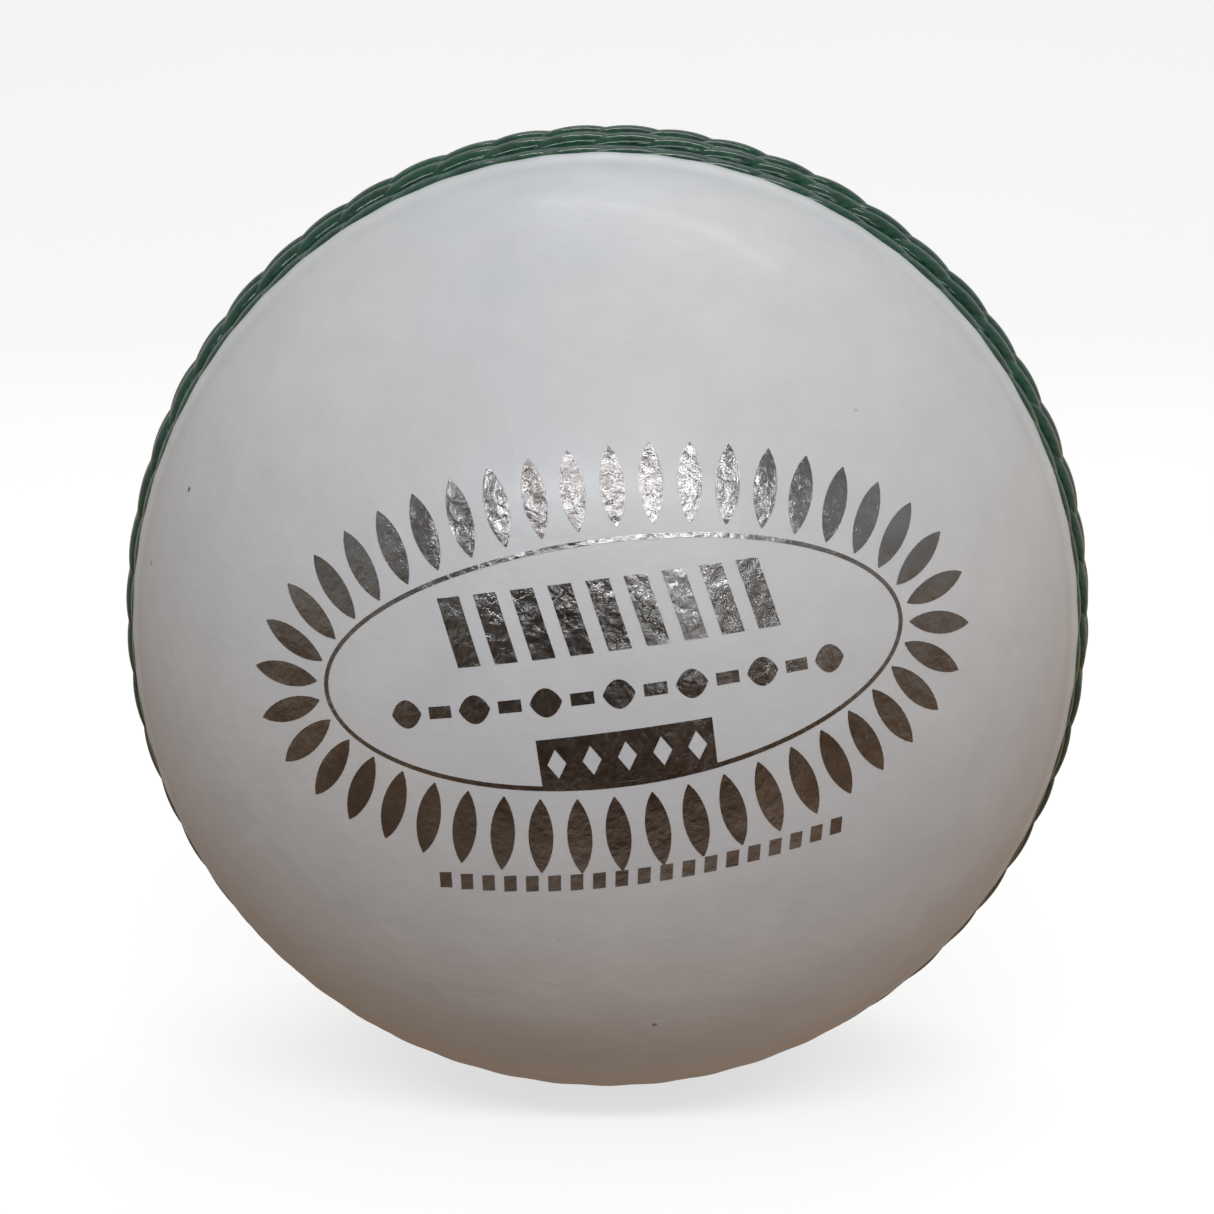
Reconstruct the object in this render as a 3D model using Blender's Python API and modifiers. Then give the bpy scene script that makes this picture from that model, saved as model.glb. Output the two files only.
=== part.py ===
"""A leather cricket ball: a wound cork centre inside two leather cups, closed by six rows of stitching.

The origin is the centre of the ball and the seam stands upright in the XZ plane, with the stamped face
looking along -Y. Every piece is turned about one axis, so it is modelled with that axis as its local Z
and hung on an empty that lays the axis along Y.
"""

import math

import bmesh
import bpy

MM = 0.001

# Driving dimensions, in millimetres.
LEATHER_RADIUS = 35.7
LEATHER_THICKNESS = 3.2
FIT_GAP = 0.3
STITCH_ROW_PITCH = 3.6
STITCH_WIDTH = 2.4
STITCH_HEIGHT = 1.3
SEAM_LIP = 0.3
CORE_RADIUS = 12.0
CORK_STRIPS_PER_LAYER = 4

# How far the crest of each row's thread stands above the leather, from the joint outwards.
STITCH_ROWS = {"inner": 0.6, "middle": 0.42, "outer": 0.15}

# The layers round the core from the inside out: (kind, inner radius, outer radius).
LAYERS = (
    ("yarn", 12.3, 16.2),
    ("cork", 16.5, 19.3),
    ("yarn", 19.6, 24.0),
    ("cork", 24.3, 27.1),
    ("yarn", 27.4, 32.0),
)

# The openings at the ends of the axis, in degrees from the pole.
YARN_TUCK_ANGLE = 9.0
CORK_END_ANGLE = 8.0

# Facets round the axis, and the angle between facets from pole to pole.
COVER_FACETS = 40
COVER_STEP = 9.0
LINING_STEP = 15.0
CENTRE_FACETS = 20
CENTRE_STEP = 15.0
STITCH_SIDES = 6

MERGE = 0.00001

# Linear base colour, roughness and metallic value of each material.
MATERIALS = {
    "leather": ((0.78, 0.79, 0.79), 0.38, 0.0),
    "thread": ((0.02, 0.10, 0.055), 0.3, 0.0),
    "yarn": ((0.62, 0.54, 0.40), 0.9, 0.0),
    "cork": ((0.42, 0.24, 0.12), 0.85, 0.0),
}


def clear_scene():
    for old in list(bpy.data.objects):
        bpy.data.objects.remove(old)


def make_material(name):
    colour, roughness, metallic = MATERIALS[name]
    material = bpy.data.materials.new(name)
    material.use_nodes = True
    shader = material.node_tree.nodes["Principled BSDF"]
    shader.inputs["Base Color"].default_value = (*colour, 1.0)
    shader.inputs["Roughness"].default_value = roughness
    shader.inputs["Metallic"].default_value = metallic
    return material


def polar(radius, angle):
    """A profile point in millimetres: radius from the ball's centre, angle in degrees from the +Z pole."""
    turn = math.radians(angle)
    return radius * math.sin(turn), radius * math.cos(turn)


def stations(start, end, step):
    """The two ends and every whole multiple of the step between them, so that layers share their facets."""
    low = math.floor(start / step + 1e-6) + 1
    high = math.ceil(end / step - 1e-6)
    return [start] + [step * i for i in range(low, high)] + [end]


def arc(radius, start, end, step):
    """Profile points down a circle about the centre, from the start angle to the end angle."""
    return [polar(radius, angle) for angle in stations(start, end, step)]


def surface_angle(height):
    """The angle from the pole of a point on the leather, at a distance along it from the seam plane."""
    return 90.0 - math.degrees(height / LEATHER_RADIUS)


def turned(name, points, material, facets, closed=False):
    """A profile at +X, running down its outer side, turned all the way round the local Z axis."""
    edges = [(i, i + 1) for i in range(len(points) - 1)]
    if closed:
        edges.append((len(points) - 1, 0))
    mesh = bpy.data.meshes.new(name)
    mesh.from_pydata([(x * MM, 0.0, z * MM) for x, z in points], edges, [])
    mesh.materials.append(material)
    obj = bpy.data.objects.new(name, mesh)
    screw = obj.modifiers.new("turn", "SCREW")
    screw.steps = facets
    screw.render_steps = facets
    screw.use_merge_vertices = True
    screw.merge_threshold = MERGE
    screw.use_smooth_shade = True
    return obj


def face_back(obj):
    """Swaps the piece end for end, so that it belongs to the back of the ball."""
    obj.rotation_euler.x = math.pi
    return obj


def build_core(material):
    """The round nucleus of ground cork and rubber at the very centre."""
    points = arc(CORE_RADIUS, 0.0, 180.0, CENTRE_STEP)
    return turned("cork_core", points, material, CENTRE_FACETS)


def build_winding(name, inner, outer, material):
    """A layer of yarn wound all round, open only at the pole where its end is tucked in."""
    inside = arc(inner, YARN_TUCK_ANGLE, 180.0, CENTRE_STEP)
    outside = arc(outer, YARN_TUCK_ANGLE, 180.0, CENTRE_STEP)
    return turned(name, inside[::-1] + outside, material, CENTRE_FACETS)


def build_cork_strip(name, index, inner, outer, material):
    """One of the curved cork strips that lie side by side from pole to pole between two windings."""
    sector = 360.0 / CORK_STRIPS_PER_LAYER
    clearance = math.degrees(FIT_GAP / inner) / 2
    end_angle = 180.0 - CORK_END_ANGLE
    outside = arc(outer, CORK_END_ANGLE, end_angle, CENTRE_STEP)
    inside = arc(inner, CORK_END_ANGLE, end_angle, CENTRE_STEP)
    section = [(x * MM, 0.0, z * MM) for x, z in outside + inside[::-1]]

    shape = bmesh.new()
    shape.faces.new([shape.verts.new(corner) for corner in section])
    sides = round(CENTRE_FACETS / CORK_STRIPS_PER_LAYER)
    width = math.radians(sector - 2 * clearance)
    ends = shape.verts[:] + shape.edges[:] + shape.faces[:]
    bmesh.ops.spin(shape, geom=ends, cent=(0, 0, 0), axis=(0, 0, 1), angle=width, steps=sides)
    bmesh.ops.recalc_face_normals(shape, faces=shape.faces)

    mesh = bpy.data.meshes.new(name)
    shape.to_mesh(mesh)
    shape.free()
    mesh.materials.append(material)
    strip = bpy.data.objects.new(name, mesh)
    strip.rotation_euler.z = math.radians(index * sector + clearance)
    return strip


def build_layers(materials):
    """The layers of yarn and cork wound round the core."""
    pieces = []
    counts = {"yarn": 0, "cork": 0}
    for kind, inner, outer in LAYERS:
        counts[kind] += 1
        number = counts[kind]
        if kind == "cork":
            for index in range(CORK_STRIPS_PER_LAYER):
                name = f"cork_strip_{number}_{index + 1}"
                pieces.append(build_cork_strip(name, index, inner, outer, materials["cork"]))
        else:
            winding = build_winding(f"yarn_winding_{number}", inner, outer, materials["yarn"])
            pieces.append(face_back(winding) if number % 2 == 0 else winding)
    return pieces


def row_height(row):
    """The distance along the leather from the seam plane to a stitch row. Row 0 is the innermost."""
    return FIT_GAP / 2 + SEAM_LIP + STITCH_WIDTH / 2 + FIT_GAP + row * STITCH_ROW_PITCH


def groove(row, proud):
    """The trough that one row of stitching presses into the leather, from its pole side to its seam side."""
    floor_radius = LEATHER_RADIUS + proud - STITCH_HEIGHT - FIT_GAP
    half_width = STITCH_WIDTH / 2 + FIT_GAP
    half_floor = half_width * 0.8
    height = row_height(row)
    return [
        polar(LEATHER_RADIUS, surface_angle(height + half_width)),
        polar(floor_radius, surface_angle(height + half_floor)),
        polar(floor_radius, surface_angle(height - half_floor)),
        polar(LEATHER_RADIUS, surface_angle(height - half_width)),
    ]


def cup_profile():
    """Half the section of a leather cup: down its outside, across the cut edge and up its lining."""
    rows = list(enumerate(STITCH_ROWS.values()))
    grooves = [point for row, proud in reversed(rows) for point in groove(row, proud)]
    outer_edge = row_height(len(rows) - 1) + STITCH_WIDTH / 2 + FIT_GAP
    dome = arc(LEATHER_RADIUS, 0.0, surface_angle(outer_edge), COVER_STEP)[:-1]
    lining_radius = LEATHER_RADIUS - LEATHER_THICKNESS
    cut = FIT_GAP / 2
    cut_edge = [(math.sqrt(radius**2 - cut**2), cut) for radius in (LEATHER_RADIUS, lining_radius)]
    lining = arc(lining_radius, 0.0, 90.0, LINING_STEP)[:-1]
    return dome + grooves + cut_edge + lining[::-1]


def build_cups(material):
    """The two moulded leather halves, each in one piece with no seam across its face."""
    front = turned("leather_cup_front", cup_profile(), material, COVER_FACETS)
    back = turned("leather_cup_back", cup_profile(), material, COVER_FACETS)
    return [front, face_back(back)]


def stitch_section(row, proud):
    """The oval section of a row of thread, lying along the leather with its crest proud of it."""
    centre = LEATHER_RADIUS + proud - STITCH_HEIGHT / 2
    outwards = polar(1.0, surface_angle(row_height(row)))
    towards_seam = (outwards[1], -outwards[0])
    points = []
    for side in range(STITCH_SIDES):
        turn = 2 * math.pi * side / STITCH_SIDES
        rise = centre + STITCH_HEIGHT / 2 * math.cos(turn)
        across = STITCH_WIDTH / 2 * math.sin(turn)
        points.append(tuple(rise * out + across * along for out, along in zip(outwards, towards_seam)))
    return points


def build_stitch_rows(material):
    """Three rows of waxed thread on each side of the joint, lower the further they are from it."""
    rows = []
    for row, (place, proud) in enumerate(STITCH_ROWS.items()):
        section = stitch_section(row, proud)
        front = turned(f"stitch_row_front_{place}", section, material, COVER_FACETS, closed=True)
        back = turned(f"stitch_row_back_{place}", section, material, COVER_FACETS, closed=True)
        rows += [front, face_back(back)]
    return rows


def main():
    clear_scene()
    collection = bpy.data.collections.new("cricket_ball")
    bpy.context.scene.collection.children.link(collection)
    axis = bpy.data.objects.new("ball_axis", None)
    axis.rotation_euler.x = math.pi / 2
    collection.objects.link(axis)

    materials = {name: make_material(name) for name in MATERIALS}
    pieces = [build_core(materials["cork"])]
    pieces += build_layers(materials)
    pieces += build_cups(materials["leather"])
    pieces += build_stitch_rows(materials["thread"])
    for piece in pieces:
        collection.objects.link(piece)
        piece.parent = axis


main()
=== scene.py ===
"""The looks of the cricket ball: white leather, raised green stitching, a foil stamp and soft studio light.

The ball's axis runs along Y. Points on it are given by their angle from the pole of their own side and
their turn about the axis, where a turn of 0 points along +X and a quarter turn along +Z.
"""

import math
import random

import bmesh
import bpy
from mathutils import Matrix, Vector


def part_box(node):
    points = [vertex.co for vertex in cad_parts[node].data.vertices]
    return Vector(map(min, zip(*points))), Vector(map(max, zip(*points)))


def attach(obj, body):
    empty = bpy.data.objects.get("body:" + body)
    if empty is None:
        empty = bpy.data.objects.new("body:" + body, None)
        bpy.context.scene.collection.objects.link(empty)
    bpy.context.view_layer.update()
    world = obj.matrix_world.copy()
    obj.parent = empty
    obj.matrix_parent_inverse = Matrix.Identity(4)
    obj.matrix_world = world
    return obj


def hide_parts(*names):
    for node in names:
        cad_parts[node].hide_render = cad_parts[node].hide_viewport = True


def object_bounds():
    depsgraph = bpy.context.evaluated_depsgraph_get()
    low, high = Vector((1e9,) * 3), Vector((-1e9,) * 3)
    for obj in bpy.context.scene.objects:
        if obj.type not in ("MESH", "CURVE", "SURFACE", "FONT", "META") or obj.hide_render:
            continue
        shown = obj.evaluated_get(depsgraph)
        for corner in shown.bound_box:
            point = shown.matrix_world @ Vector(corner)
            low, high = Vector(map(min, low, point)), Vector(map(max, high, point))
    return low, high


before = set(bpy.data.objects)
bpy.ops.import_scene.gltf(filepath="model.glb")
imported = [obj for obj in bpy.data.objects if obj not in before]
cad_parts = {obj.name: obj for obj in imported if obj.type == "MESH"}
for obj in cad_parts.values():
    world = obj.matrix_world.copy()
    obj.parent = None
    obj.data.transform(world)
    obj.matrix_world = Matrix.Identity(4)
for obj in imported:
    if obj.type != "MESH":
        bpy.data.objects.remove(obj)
cad_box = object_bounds()

MM = 0.001
FRONT, BACK = -1.0, 1.0

# The cover. Its radius comes from the frame, and its joint is drawn closed.
LEATHER_RADIUS = -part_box("leather_cup_front")[0][1]
LEATHER_THICKNESS = 3.2 * MM
HALF_JOINT = 0.005 * MM
CUT_EDGE_ROUNDING = 0.35 * MM

# The seam. Heights are measured along the leather from the seam plane.
STITCHES = 56
STITCH_PITCH = 2 * math.pi * LEATHER_RADIUS / STITCHES
ROW_PLACES = ("inner", "middle", "outer")
BED_HALF_WIDTH = 1.75 * MM
LIP_HEIGHT = 0.1 * MM
LIP_FURROW = 0.14 * MM
SEAM_SINK = 0.3 * MM
THREAD_HALF_WIDTH = 1.2 * MM
THREAD_HALF_HEIGHT = 0.68 * MM
THREAD_ROOT = 1.05 * MM
THREAD_SECTIONS = 18
THREAD_SPOKES = 12
FIRST_STITCH_TURN = math.radians(90.4)

# The stamp, in the face's own millimetres from the pole.
FOIL_CENTRE = (1.3, 1.9)
FOIL_TILT = math.radians(7.5)
FOIL_RAISE = 0.03 * MM
OVAL_HALF = (23.4, 11.4)

# The camera. It looks at a point this far above the middle of the ball.
AIM_HEIGHT = 0.1 * MM
CAMERA_AZIMUTH = math.radians(1.25)
CAMERA_ELEVATION = math.radians(8.75)
CAMERA_DISTANCE = LEATHER_RADIUS * 6
CAMERA_ANGLE = math.radians(24.3)


# Meshes


def row_height(place):
    """The distance along the leather from the seam plane to the middle of a stitch row."""
    low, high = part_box(f"stitch_row_front_{place}")
    middle = -(low[1] + high[1]) / 2
    return math.asin(middle / LEATHER_RADIUS) * LEATHER_RADIUS


def row_crest(place):
    """How far a row's thread stands above the leather."""
    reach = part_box(f"stitch_row_front_{place}")[1][0]
    return reach / math.cos(row_height(place) / LEATHER_RADIUS) - LEATHER_RADIUS


ROW_HEIGHTS = {place: row_height(place) for place in ROW_PLACES}
ROW_CRESTS = {place: row_crest(place) for place in ROW_PLACES}


def on_ball(side, height, turn, radius):
    """A point at a height from the seam plane, a turn about the axis and a distance from the centre."""
    angle = height / LEATHER_RADIUS
    reach = radius * math.cos(angle)
    return Vector((reach * math.cos(turn), side * radius * math.sin(angle), reach * math.sin(turn)))


def make_object(name, shape, smooth=True):
    bmesh.ops.recalc_face_normals(shape, faces=shape.faces)
    mesh = bpy.data.meshes.new(name)
    shape.to_mesh(mesh)
    shape.free()
    if smooth:
        mesh.shade_smooth()
    obj = bpy.data.objects.new(name, mesh)
    bpy.context.scene.collection.objects.link(obj)
    return obj


def hump(distance, half_width):
    """A smooth bump that is 1 at no distance and 0 from half_width on."""
    share = min(1.0, abs(distance) / half_width)
    return (1 - share * share) ** 2


def leather_relief(height, turn):
    """How far the leather stands off a true sphere: sunk under the thread, with a puckered lip beside it."""
    relief = 0.0
    for place in ROW_PLACES:
        depth = 1.6 * THREAD_HALF_HEIGHT - 0.7 * ROW_CRESTS[place]
        relief -= depth * hump(height - ROW_HEIGHTS[place], BED_HALF_WIDTH)
    relief -= SEAM_SINK * min(1.0, max(0.0, (ROW_HEIGHTS["outer"] - height) / MM))
    edge = ROW_HEIGHTS["outer"] + BED_HALF_WIDTH
    pucker = 0.5 + 0.5 * math.cos(STITCHES * (turn - FIRST_STITCH_TURN))
    relief += LIP_HEIGHT * (0.35 + 0.65 * pucker) * hump(height - edge - 0.25 * MM, 0.8 * MM)
    relief -= LIP_FURROW * hump(height - edge - 1.6 * MM, 1.5 * MM)
    relief -= CUT_EDGE_ROUNDING * math.exp(-max(0.0, height - HALF_JOINT) / (0.25 * MM))
    return relief


def build_cup(name, side):
    """One moulded leather half: relief on the outside, a rounded cut edge and a smooth lining."""
    turns = [2 * math.pi * i / (STITCHES * 6) for i in range(STITCHES * 6)]
    fine_from = ROW_HEIGHTS["outer"] + 4.5 * MM
    fine = [HALF_JOINT + (fine_from - HALF_JOINT) * i / 44 for i in range(45)]
    pole = LEATHER_RADIUS * math.pi / 2
    coarse = [fine_from + (pole - fine_from) * i / 26 for i in range(1, 26)]
    outside = fine + coarse
    inside = [HALF_JOINT + (pole - HALF_JOINT) * i / 10 for i in range(10)]
    lining_radius = LEATHER_RADIUS - LEATHER_THICKNESS

    shape = bmesh.new()
    rings = []
    for height in reversed(inside):
        rings.append([shape.verts.new(on_ball(side, height, turn, lining_radius)) for turn in turns])
    for height in outside:
        ring = []
        for turn in turns:
            radius = LEATHER_RADIUS + leather_relief(height, turn)
            ring.append(shape.verts.new(on_ball(side, height, turn, radius)))
        rings.append(ring)
    tips = [
        shape.verts.new((0.0, side * lining_radius, 0.0)),
        shape.verts.new((0.0, side * LEATHER_RADIUS, 0.0)),
    ]
    for first, second in zip(rings, rings[1:]):
        for i in range(len(turns)):
            shape.faces.new((first[i - 1], first[i], second[i], second[i - 1]))
    for tip, ring in zip(tips, (rings[0], rings[-1])):
        for i in range(len(turns)):
            shape.faces.new((tip, ring[i - 1], ring[i]))
    return make_object(name, shape)


def build_stitch_row(name, side, place, seed):
    """A row of separate stitches. Each comes up on the pole's side and dives on the seam's side."""
    draw = random.Random(seed)
    sections, spokes = THREAD_SECTIONS, THREAD_SPOKES
    middle = ROW_HEIGHTS[place]
    proud = ROW_CRESTS[place]
    shape = bmesh.new()
    layer = shape.loops.layers.uv.new("thread")
    for number in range(STITCHES):
        start = FIRST_STITCH_TURN + (number + draw.uniform(-0.05, 0.05)) * 2 * math.pi / STITCHES
        length = STITCH_PITCH * draw.uniform(1.74, 1.88)
        half_width = THREAD_HALF_WIDTH * draw.uniform(0.94, 1.06)
        lean = draw.uniform(0.3, 0.42) * MM
        lift = proud - draw.uniform(0.0, 0.08) * MM

        def centre_line(u):
            arch = math.sin(math.pi * min(1.0, max(0.0, u))) ** 0.42
            height = middle + lean * math.cos(math.pi * u)
            radius = LEATHER_RADIUS - THREAD_ROOT + (lift + THREAD_ROOT - THREAD_HALF_HEIGHT) * arch
            turn = start - (u - 0.2) * length / LEATHER_RADIUS
            return on_ball(side, height, turn, radius)

        rings = []
        for i in range(sections):
            u = i / (sections - 1)
            centre = centre_line(u)
            forward = (centre_line(u + 0.02) - centre_line(u - 0.02)).normalized()
            outward = centre.normalized()
            across = forward.cross(outward).normalized()
            outward = across.cross(forward)
            swell = 0.6 + 0.4 * math.sin(math.pi * u) ** 0.5
            ring = []
            for k in range(spokes):
                spoke = 2 * math.pi * k / spokes
                offset = across * math.cos(spoke) * half_width * swell
                offset += outward * math.sin(spoke) * THREAD_HALF_HEIGHT * swell
                ring.append(shape.verts.new(centre + offset))
            rings.append(ring)
        for i, (first, second) in enumerate(zip(rings, rings[1:])):
            for k in range(spokes):
                face = shape.faces.new((first[k - 1], first[k], second[k], second[k - 1]))
                along = (i, i, i + 1, i + 1)
                around = (k - 1, k, k, k - 1)
                for loop, a, b in zip(face.loops, along, around):
                    loop[layer].uv = (a / (sections - 1) + number, (b % spokes) / spokes)
        shape.faces.new(rings[0])
        shape.faces.new(rings[-1])
    return make_object(name, shape)


# Materials


def add(tree, kind, inputs=None, **settings):
    """Adds a shader node. inputs maps a socket's name or index to a value, or to a socket that feeds it."""
    new = tree.nodes.new("ShaderNode" + kind)
    for key, value in settings.items():
        setattr(new, key, value)
    for key, value in (inputs or {}).items():
        if isinstance(value, bpy.types.NodeSocket):
            tree.links.new(value, new.inputs[key])
        else:
            new.inputs[key].default_value = value
    return new


def noise(tree, place, scale, detail=4.0, roughness=0.55):
    inputs = {"Vector": place, "Scale": scale, "Detail": detail, "Roughness": roughness}
    return add(tree, "TexNoise", inputs).outputs["Fac"]


def ranged(tree, value, low, high, start, end):
    """Maps value from low..high to start..end, held at both ends."""
    inputs = {"Value": value, "From Min": low, "From Max": high, "To Min": start, "To Max": end}
    return add(tree, "MapRange", inputs, clamp=True).outputs["Result"]


def mixed(tree, share, first, second, blend="MIX"):
    """A colour between two colours, each a socket or three linear numbers."""
    colours = [c if isinstance(c, bpy.types.NodeSocket) else (*c, 1.0) for c in (first, second)]
    inputs = {0: share, 6: colours[0], 7: colours[1]}
    return add(tree, "Mix", inputs, data_type="RGBA", blend_type=blend).outputs[2]


def maths(tree, operation, first, second=0.0):
    return add(tree, "Math", {0: first, 1: second}, operation=operation).outputs[0]


def bump(tree, height, distance, strength, under=None):
    inputs = {"Height": height, "Distance": distance, "Strength": strength}
    if under:
        inputs["Normal"] = under
    return add(tree, "Bump", inputs).outputs["Normal"]


def new_material(name, **sockets):
    """A material whose shader has the given plain numbers. Returns it, its tree, shader and place."""
    material = bpy.data.materials.new(name)
    material.use_nodes = True
    tree = material.node_tree
    shader = tree.nodes["Principled BSDF"]
    for key, value in sockets.items():
        shader.inputs[key.replace("_", " ").title().replace("Ior", "IOR")].default_value = value
    place = add(tree, "TexCoord").outputs["Object"]
    return material, tree, shader, place


def feed(tree, shader, colour=None, roughness=None, normal=None):
    for socket, value in (("Base Color", colour), ("Roughness", roughness), ("Normal", normal)):
        if value is not None:
            tree.links.new(value, shader.inputs[socket])


def leather_material():
    """White dyed leather under a clear satin coat, with a fine grain, faint mottling, a few specks and
    painted shade under and between the seam's rows.
    """
    material, tree, shader, place = new_material("white_leather", coat_weight=0.07, coat_roughness=0.14)
    broad = noise(tree, place, 42.0, 3.0)
    cool_warm = ranged(tree, broad, 0.35, 0.65, 0.0, 1.0)
    colour = mixed(tree, cool_warm, (0.685, 0.70, 0.715), (0.73, 0.73, 0.722))
    mottle = ranged(tree, noise(tree, place, 240.0, 6.0, 0.6), 0.3, 0.7, 0.955, 1.03)
    grey = add(tree, "CombineColor", {0: mottle, 1: mottle, 2: mottle}).outputs[0]
    colour = mixed(tree, 1.0, colour, grey, "MULTIPLY")

    # The dye of the thread has stained the leather next to it, in patches.
    height = maths(tree, "ABSOLUTE", add(tree, "SeparateXYZ", {0: place}).outputs["Y"])
    edge = ROW_HEIGHTS["outer"] + BED_HALF_WIDTH
    near = ranged(tree, height, edge - 0.5 * MM, edge + 0.5 * MM, 1.0, 0.0)
    patchy = ranged(tree, noise(tree, place, 330.0, 3.0), 0.38, 0.62, 0.1, 0.75)
    colour = mixed(tree, maths(tree, "MULTIPLY", near, patchy), colour, (0.36, 0.46, 0.42))
    # Painted shade: from the outer row in to the seam, the leather under and between the rows is painted
    # dark, nearly the thread's green.
    painted_seam_shade = ranged(tree, height, ROW_HEIGHTS["outer"], edge - 0.4 * MM, 0.85, 0.0)
    colour = mixed(tree, painted_seam_shade, colour, (0.035, 0.085, 0.06))

    # Sparse dark specks, each a dot in a few of the cells.
    cells = add(tree, "TexVoronoi", {"Vector": place, "Scale": 125.0, "Randomness": 1.0})
    dot = ranged(tree, cells.outputs["Distance"], 0.02, 0.036, 0.9, 0.0)
    pick = add(tree, "SeparateColor", {0: cells.outputs["Color"]}).outputs[0]
    chosen = maths(tree, "LESS_THAN", pick, 0.55)
    colour = mixed(tree, maths(tree, "MULTIPLY", dot, chosen), colour, (0.10, 0.085, 0.075))

    uneven = noise(tree, place, 85.0, 4.0)
    grain = noise(tree, place, 2600.0, 3.0, 0.5)
    pores = add(tree, "TexVoronoi", {"Vector": place, "Scale": 1500.0}).outputs["Distance"]
    normal = bump(tree, uneven, 0.9 * MM, 0.25)
    normal = bump(tree, noise(tree, place, 420.0, 4.0), 0.12 * MM, 0.3, normal)
    normal = bump(tree, maths(tree, "ADD", grain, pores), 0.03 * MM, 0.35, normal)
    feed(tree, shader, colour, ranged(tree, uneven, 0.3, 0.7, 0.36, 0.5), normal)
    return material


def thread_material():
    """Thick waxed thread: twisted plies under a gloss of wax, scuffed pale here and there."""
    material, tree, shader, place = new_material(
        "green_thread", coat_weight=0.6, coat_roughness=0.07, specular_ior_level=0.15
    )
    tone = ranged(tree, noise(tree, place, 900.0, 4.0), 0.3, 0.7, 0.0, 1.0)
    colour = mixed(tree, tone, (0.006, 0.036, 0.021), (0.016, 0.082, 0.045))
    scuff = ranged(tree, noise(tree, place, 520.0, 5.0, 0.65), 0.6, 0.72, 0.0, 0.25)
    colour = mixed(tree, scuff, colour, (0.12, 0.21, 0.17))
    uv = add(tree, "UVMap", uv_map="thread").outputs["UV"]
    twist = add(tree, "Mapping", {"Vector": uv, "Rotation": (0.0, 0.0, math.radians(38))})
    plies = add(tree, "TexWave", {"Vector": twist.outputs[0], "Scale": 3.2, "Distortion": 1.2, "Detail": 2.0})
    normal = bump(tree, plies.outputs["Fac"], 0.08 * MM, 0.35)
    normal = bump(tree, noise(tree, place, 1600.0, 4.0), 0.06 * MM, 0.35, normal)
    feed(tree, shader, colour, ranged(tree, tone, 0.0, 1.0, 0.34, 0.24), normal)
    return material


def foil_material():
    """Hot-pressed silver foil that has taken the grain of the leather and cracked finely."""
    material, tree, shader, place = new_material("silver_foil", metallic=1.0)
    tone = noise(tree, place, 160.0, 5.0, 0.6)
    colour = mixed(tree, ranged(tree, tone, 0.35, 0.65, 0.0, 1.0), (0.20, 0.185, 0.175), (0.34, 0.335, 0.33))
    cells = add(tree, "TexVoronoi", {"Vector": place, "Scale": 1150.0}, feature="F2")
    wrinkle = noise(tree, place, 1900.0, 5.0, 0.65)
    crackle = maths(tree, "ADD", cells.outputs["Distance"], wrinkle)
    normal = bump(tree, noise(tree, place, 260.0, 3.0), 0.35 * MM, 0.6)
    normal = bump(tree, crackle, 0.08 * MM, 0.9, normal)
    feed(tree, shader, colour, ranged(tree, wrinkle, 0.35, 0.7, 0.1, 0.34), normal)
    return material


def cork_material():
    """Pressed cork: pale and dark granules, with fine pits between them painted dark as shade."""
    material, tree, shader, place = new_material("pressed_cork", roughness=0.85)
    cells = add(tree, "TexVoronoi", {"Vector": place, "Scale": 620.0})
    pick = add(tree, "SeparateColor", {0: cells.outputs["Color"]}).outputs[0]
    colour = mixed(tree, pick, (0.26, 0.13, 0.06), (0.52, 0.33, 0.18))
    # Painted shade: dark spots stand for the shade in fine pits.
    pit_shade = ranged(tree, noise(tree, place, 1300.0, 4.0), 0.55, 0.7, 0.0, 0.8)
    colour = mixed(tree, pit_shade, colour, (0.07, 0.035, 0.02))
    normal = bump(tree, cells.outputs["Distance"], 0.3 * MM, 0.6)
    feed(tree, shader, colour, ranged(tree, pick, 0.0, 1.0, 0.75, 0.92), normal)
    return material


def yarn_material():
    """Undyed wool yarn, wound in crossing courses."""
    material, tree, shader, place = new_material("wool_yarn", sheen_weight=0.3)
    courses = []
    for turn in (0.0, 0.9, 1.9):
        lay = add(tree, "Mapping", {"Vector": place, "Rotation": (turn, turn * 0.7, turn * 0.4)})
        wave = {"Vector": lay.outputs[0], "Scale": 260.0, "Distortion": 2.5, "Detail": 3.0}
        courses.append(add(tree, "TexWave", wave).outputs["Fac"])
    patch = noise(tree, place, 70.0, 2.0)
    first = maths(tree, "GREATER_THAN", patch, 0.5)
    height = maths(tree, "ADD", maths(tree, "MULTIPLY", courses[0], first), courses[1])
    height = maths(tree, "MAXIMUM", height, courses[2])
    fibre = noise(tree, place, 2400.0, 4.0)
    colour = mixed(tree, fibre, (0.50, 0.42, 0.30), (0.74, 0.68, 0.55))
    normal = bump(tree, maths(tree, "ADD", height, fibre), 0.4 * MM, 0.6)
    feed(tree, shader, colour, ranged(tree, fibre, 0.3, 0.7, 0.82, 0.98), normal)
    return material


# The foil stamp


def on_face(x, y, radius):
    """A point of the stamp, in millimetres on the flat artwork, laid on the front of the ball."""
    u = FOIL_CENTRE[0] + x * math.cos(FOIL_TILT) - y * math.sin(FOIL_TILT)
    v = FOIL_CENTRE[1] + x * math.sin(FOIL_TILT) + y * math.cos(FOIL_TILT)
    reach = math.hypot(u, v) * MM
    return on_ball(FRONT, LEATHER_RADIUS * math.pi / 2 - reach, math.atan2(v, u), radius)


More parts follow.
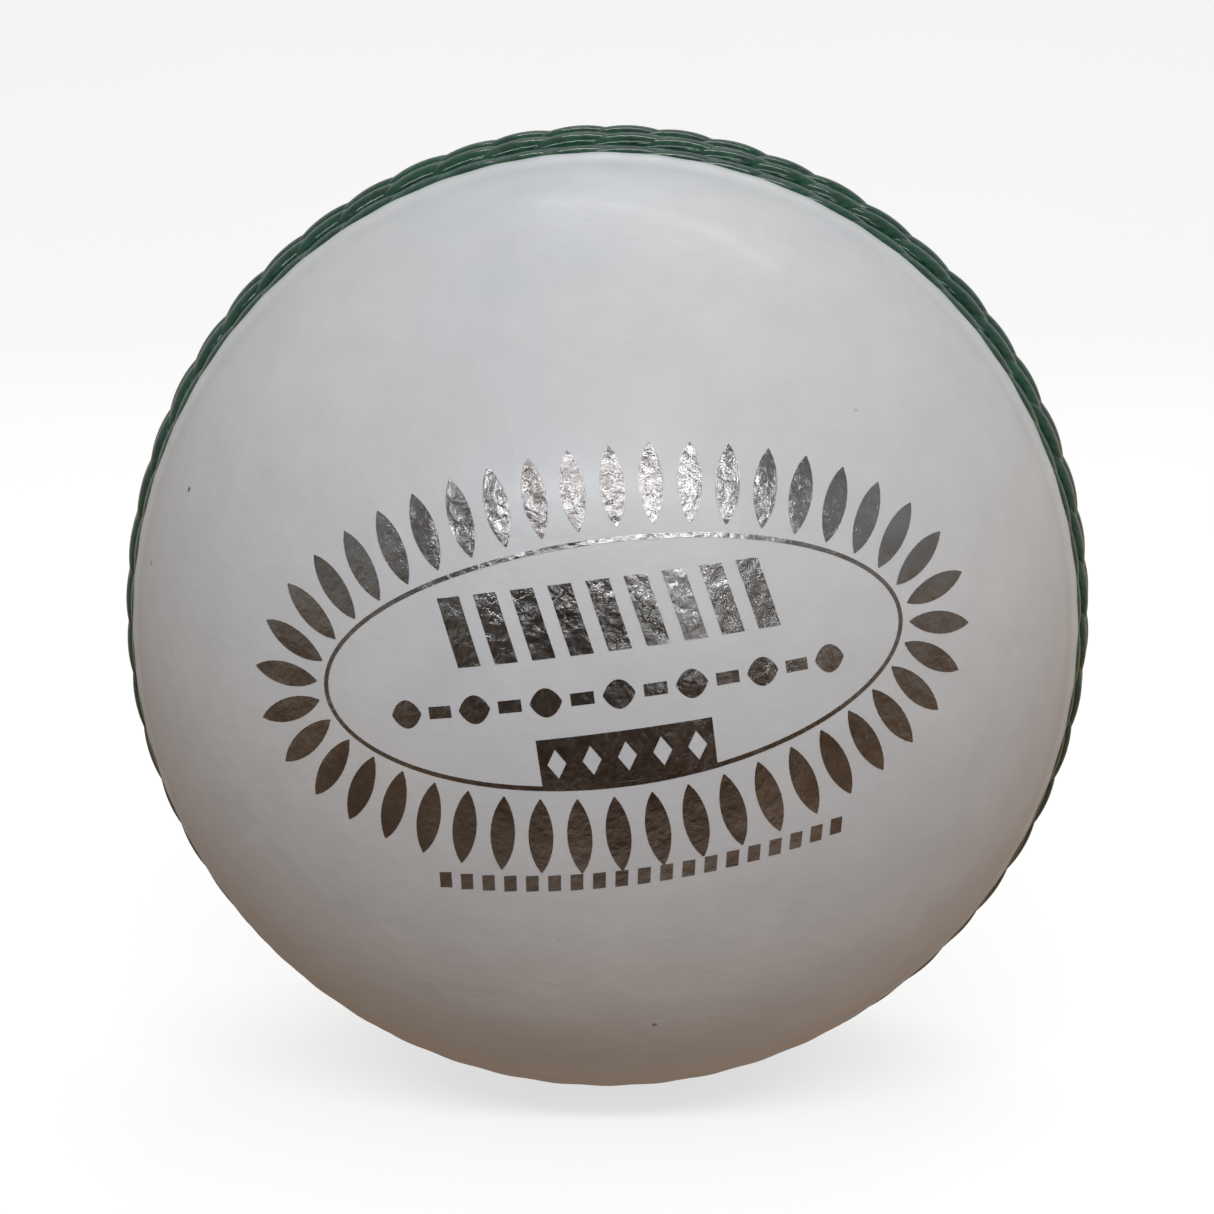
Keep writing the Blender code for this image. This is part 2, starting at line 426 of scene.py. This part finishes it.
def add_patch(shape, grid, closed=False):
    """A thin plate of foil from a grid of artwork points, its rim turned down into the leather."""
    top = [[shape.verts.new(on_face(x, y, LEATHER_RADIUS + FOIL_RAISE)) for x, y in line] for line in grid]
    base = [[shape.verts.new(on_face(x, y, LEATHER_RADIUS - FOIL_RAISE)) for x, y in line] for line in grid]
    columns = len(grid[0])
    steps = range(columns) if closed else range(columns - 1)
    for above, rows in ((True, top), (False, base)):
        for first, second in zip(rows, rows[1:]):
            for i in steps:
                j = (i + 1) % columns
                shape.faces.new((first[i], first[j], second[j], second[i]))
    for line in (0, -1):
        for i in steps:
            j = (i + 1) % columns
            shape.faces.new((top[line][i], top[line][j], base[line][j], base[line][i]))
    if not closed:
        for column in (0, -1):
            for k in range(len(grid) - 1):
                shape.faces.new((top[k][column], top[k + 1][column], base[k + 1][column], base[k][column]))


def leaning(centre, x, y, lean):
    """A point of a shape that is turned by lean about its centre."""
    across = x * math.cos(lean) - y * math.sin(lean)
    up = x * math.sin(lean) + y * math.cos(lean)
    return centre[0] + across, centre[1] + up


def add_bar(shape, centre, size, slant=0.0):
    """A plain upright bar. slant shears its ends."""
    width, height = size
    steps = max(2, round(width / 1.2))
    grid = []
    for row in (-0.5, -0.17, 0.17, 0.5):
        line = []
        for i in range(steps + 1):
            x = width * (i / steps - 0.5) + slant * row * height
            line.append((centre[0] + x, centre[1] + row * height))
        grid.append(line)
    add_patch(shape, grid)


def add_lozenge(shape, centre, half_length, half_width, lean, steps=10):
    """A slim pointed leaf shape with both halves alike."""
    grid = []
    for row in (-1.0, -0.4, 0.4, 1.0):
        line = []
        for i in range(steps + 1):
            share = -0.985 + 1.97 * i / steps
            x = share * half_length
            y = row * half_width * (1 - share * share) ** 0.85
            line.append(leaning(centre, x, y, lean))
        grid.append(line)
    add_patch(shape, grid)


def oval(outset, turn):
    """A point of the stamp's oval, or of one that lies outset outside it."""
    return (OVAL_HALF[0] + outset) * math.cos(turn), (OVAL_HALF[1] + outset) * math.sin(turn)


def add_oval_line(shape, outset, width, steps=144):
    turns = [2 * math.pi * i / steps for i in range(steps)]
    grid = [[oval(outset + side, turn) for turn in turns] for side in (-width / 2, width / 2)]
    add_patch(shape, grid, closed=True)


def even_turns(count, steps=2880):
    """Turns round the oval that leave the same distance between neighbours, starting at its right end."""
    points = [oval(0, 2 * math.pi * i / steps) for i in range(steps + 1)]
    lengths = [0.0]
    for first, second in zip(points, points[1:]):
        lengths.append(lengths[-1] + math.dist(first, second))
    turns = []
    at = 0
    for number in range(count):
        goal = lengths[-1] * (number + 0.5) / count
        while lengths[at] < goal:
            at += 1
        turns.append(2 * math.pi * at / steps)
    return turns


def build_stamp():
    """A plain ornament with no lettering: an oval of lozenges round blank bars."""
    shape = bmesh.new()
    for turn in even_turns(44):
        x, y = oval(0, turn)
        normal = math.atan2(math.sin(turn) * OVAL_HALF[0], math.cos(turn) * OVAL_HALF[1])
        add_lozenge(shape, (x, y), 2.75, 0.82, normal)
    add_oval_line(shape, -3.5, 0.32)

    for i in range(9):
        add_bar(shape, ((i - 4) * 2.45, 3.2), (1.5, 4.6), slant=-0.2)
    for i in range(13):
        x = (i - 6) * 2.35
        if i % 2:
            add_bar(shape, (x, -1.9), (1.5, 0.8))
        else:
            add_lozenge(shape, (x, -1.9), 1.05, 0.95, 0.0)
    add_tablet(shape, (0.0, -6.0), (11.4, 3.4), 5)
    for i in range(19):
        x = (i - 9) * 1.5
        add_bar(shape, (x, -14.7 + 0.0042 * x * x), (0.85, 1.2), slant=0.15)
    return make_object("foil_stamp", shape, smooth=False)


def quarter_turned(point, turn):
    """A point turned by a whole number of quarter turns, exactly."""
    c, s = round(math.cos(turn)), round(math.sin(turn))
    return point[0] * c - point[1] * s, point[0] * s + point[1] * c


def add_tablet(shape, centre, size, count):
    """A solid tablet with a row of plain diamonds left open in it."""
    cell = size[0] / count
    for number in range(count):
        middle = centre[0] + (number - (count - 1) / 2) * cell
        grid = []
        for step in range(5):
            share = step / 4
            line = []
            for k in range(24):
                side, along = k // 6 * math.pi / 2, k % 6 / 3 - 1
                corner = (1.0, along)
                point = (1 - abs(along) / 2, along / 2)
                x, y = (
                    a * size_in * (1 - share) + b * size_out * share
                    for a, b, size_in, size_out in zip(
                        quarter_turned(point, side),
                        quarter_turned(corner, side),
                        (0.62, 1.0),
                        (cell / 2, size[1] / 2),
                    )
                )
                line.append((middle + x, centre[1] + y))
            grid.append(line)
        add_patch(shape, grid, closed=True)


# The studio


def build_floor():
    """A pale floor that curves up behind the ball. It is there for the camera only."""
    ground = cad_box[0][2]
    bend = 0.5
    profile = [(-1.5, ground), (0.9, ground)]
    for i in range(1, 25):
        turn = math.pi / 2 * i / 24
        profile.append((0.9 + bend * math.sin(turn), ground + bend * (1 - math.cos(turn))))
    profile.append((0.9 + bend, 2.0))
    shape = bmesh.new()
    lines = [[shape.verts.new((x, y, z)) for y, z in profile] for x in (-2.5, 2.5)]
    for i in range(len(profile) - 1):
        shape.faces.new((lines[0][i], lines[0][i + 1], lines[1][i + 1], lines[1][i]))
    floor = make_object("studio_floor", shape)
    material, tree, shader, place = new_material("pale_floor", roughness=0.9, emission_strength=0.68)
    shader.inputs["Emission Color"].default_value = (1.0, 1.0, 1.0, 1.0)
    tone = noise(tree, place, 6.0, 3.0)
    feed(tree, shader, mixed(tree, tone, (0.50, 0.50, 0.50), (0.53, 0.53, 0.53)))
    floor.data.materials.append(material)
    floor.visible_diffuse = False
    floor.visible_glossy = False
    floor.visible_shadow = False


def add_light(name, azimuth, elevation, distance, size, power, colour=(1.0, 1.0, 1.0)):
    """A soft rectangular light aimed at the ball. Azimuth 0 is in front, and grows to the right."""
    data = bpy.data.lights.new(name, "AREA")
    data.shape = "RECTANGLE"
    data.size, data.size_y = size
    data.energy = power
    data.color = colour
    lamp = bpy.data.objects.new(name, data)
    a, e = math.radians(azimuth), math.radians(elevation)
    direction = Vector((math.sin(a) * math.cos(e), -math.cos(a) * math.cos(e), math.sin(e)))
    lamp.location = direction * distance
    lamp.rotation_euler = direction.to_track_quat("Z", "Y").to_euler()
    bpy.context.scene.collection.objects.link(lamp)


def light_studio():
    add_light("front_light", 2.0, 36.0, 1.2, (1.1, 0.12), 7.9, (0.93, 0.95, 1.0))
    add_light("side_light", 19.7, 8.8, 1.2, (0.12, 0.12), 0.6)
    add_light("top_light", -20.0, 114.5, 1.2, (0.8, 0.06), 2.0)

    # The room: cool above, warm and dim below, and dark behind the camera and at the lower left.
    world = bpy.data.worlds.new("studio")
    bpy.context.scene.world = world
    world.use_nodes = True
    tree = world.node_tree
    background = tree.nodes["Background"]
    direction = add(tree, "TexCoord").outputs["Generated"]
    parts = add(tree, "SeparateXYZ", {0: direction})
    height = ranged(tree, parts.outputs["Z"], -1.0, 1.0, 0.0, 1.0)
    ramp = add(tree, "ValToRGB", {0: height})
    stops = ramp.color_ramp.elements
    stops[0].color = (0.46, 0.39, 0.34, 1.0)
    stops[1].color = (0.34, 0.31, 0.27, 1.0)
    for place, colour in ((0.27, (0.21, 0.11, 0.05)), (0.5, (0.43, 0.37, 0.32)), (0.73, (0.39, 0.43, 0.46))):
        stops.new(place).color = (*colour, 1.0)
    dark = ranged(tree, parts.outputs["Y"], -0.9, -0.55, 0.85, 0.0)
    colour = mixed(tree, dark, ramp.outputs["Color"], (0.02, 0.015, 0.012))
    towards = {0: direction, 1: (-0.6, 0.0, -0.8)}
    low_left = add(tree, "VectorMath", towards, operation="DOT_PRODUCT").outputs["Value"]
    colour = mixed(tree, ranged(tree, low_left, 0.4, 0.9, 0.0, 0.6), colour, (0.12, 0.085, 0.06))
    tree.links.new(colour, background.inputs["Color"])


def place_camera():
    """The photograph's view: from a little above, a touch to the right, six ball radii away."""
    data = bpy.data.cameras.new("camera")
    camera = bpy.data.objects.new("camera", data)
    azimuth, elevation = CAMERA_AZIMUTH, CAMERA_ELEVATION
    direction = Vector(
        (
            math.sin(azimuth) * math.cos(elevation),
            -math.cos(azimuth) * math.cos(elevation),
            math.sin(elevation),
        )
    )
    camera.location = direction * CAMERA_DISTANCE + Vector((0.0, 0.0, AIM_HEIGHT))
    camera.rotation_euler = direction.to_track_quat("Z", "Y").to_euler()
    data.angle = CAMERA_ANGLE
    data.clip_start = 0.01
    bpy.context.scene.collection.objects.link(camera)
    bpy.context.scene.camera = camera


# Building


def finish_piece(piece, material, slot, *nodes):
    piece.data.materials.clear()
    piece.data.materials.append(material)
    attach(piece, "root")
    if nodes:
        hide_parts(*nodes)


def main():
    leather = leather_material()
    thread = thread_material()
    for name, side in (("front", FRONT), ("back", BACK)):
        node = f"leather_cup_{name}"
        finish_piece(build_cup(f"leather_{name}", side), leather, "leather", node)
        for number, place in enumerate(ROW_PLACES):
            node = f"stitch_row_{name}_{place}"
            row = build_stitch_row(f"stitches_{name}_{place}", side, place, seed=number + 10 * (side > 0))
            finish_piece(row, thread, "thread", node)
    finish_piece(build_stamp(), foil_material(), "foil_stamp")

    cork, yarn = cork_material(), yarn_material()
    for name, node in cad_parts.items():
        for key, material in (("cork", cork), ("yarn", yarn)):
            if name.startswith(key):
                node.material_slots[0].material = material

    build_floor()
    light_studio()
    place_camera()
    bpy.context.scene.view_settings.view_transform = "Standard"


main()
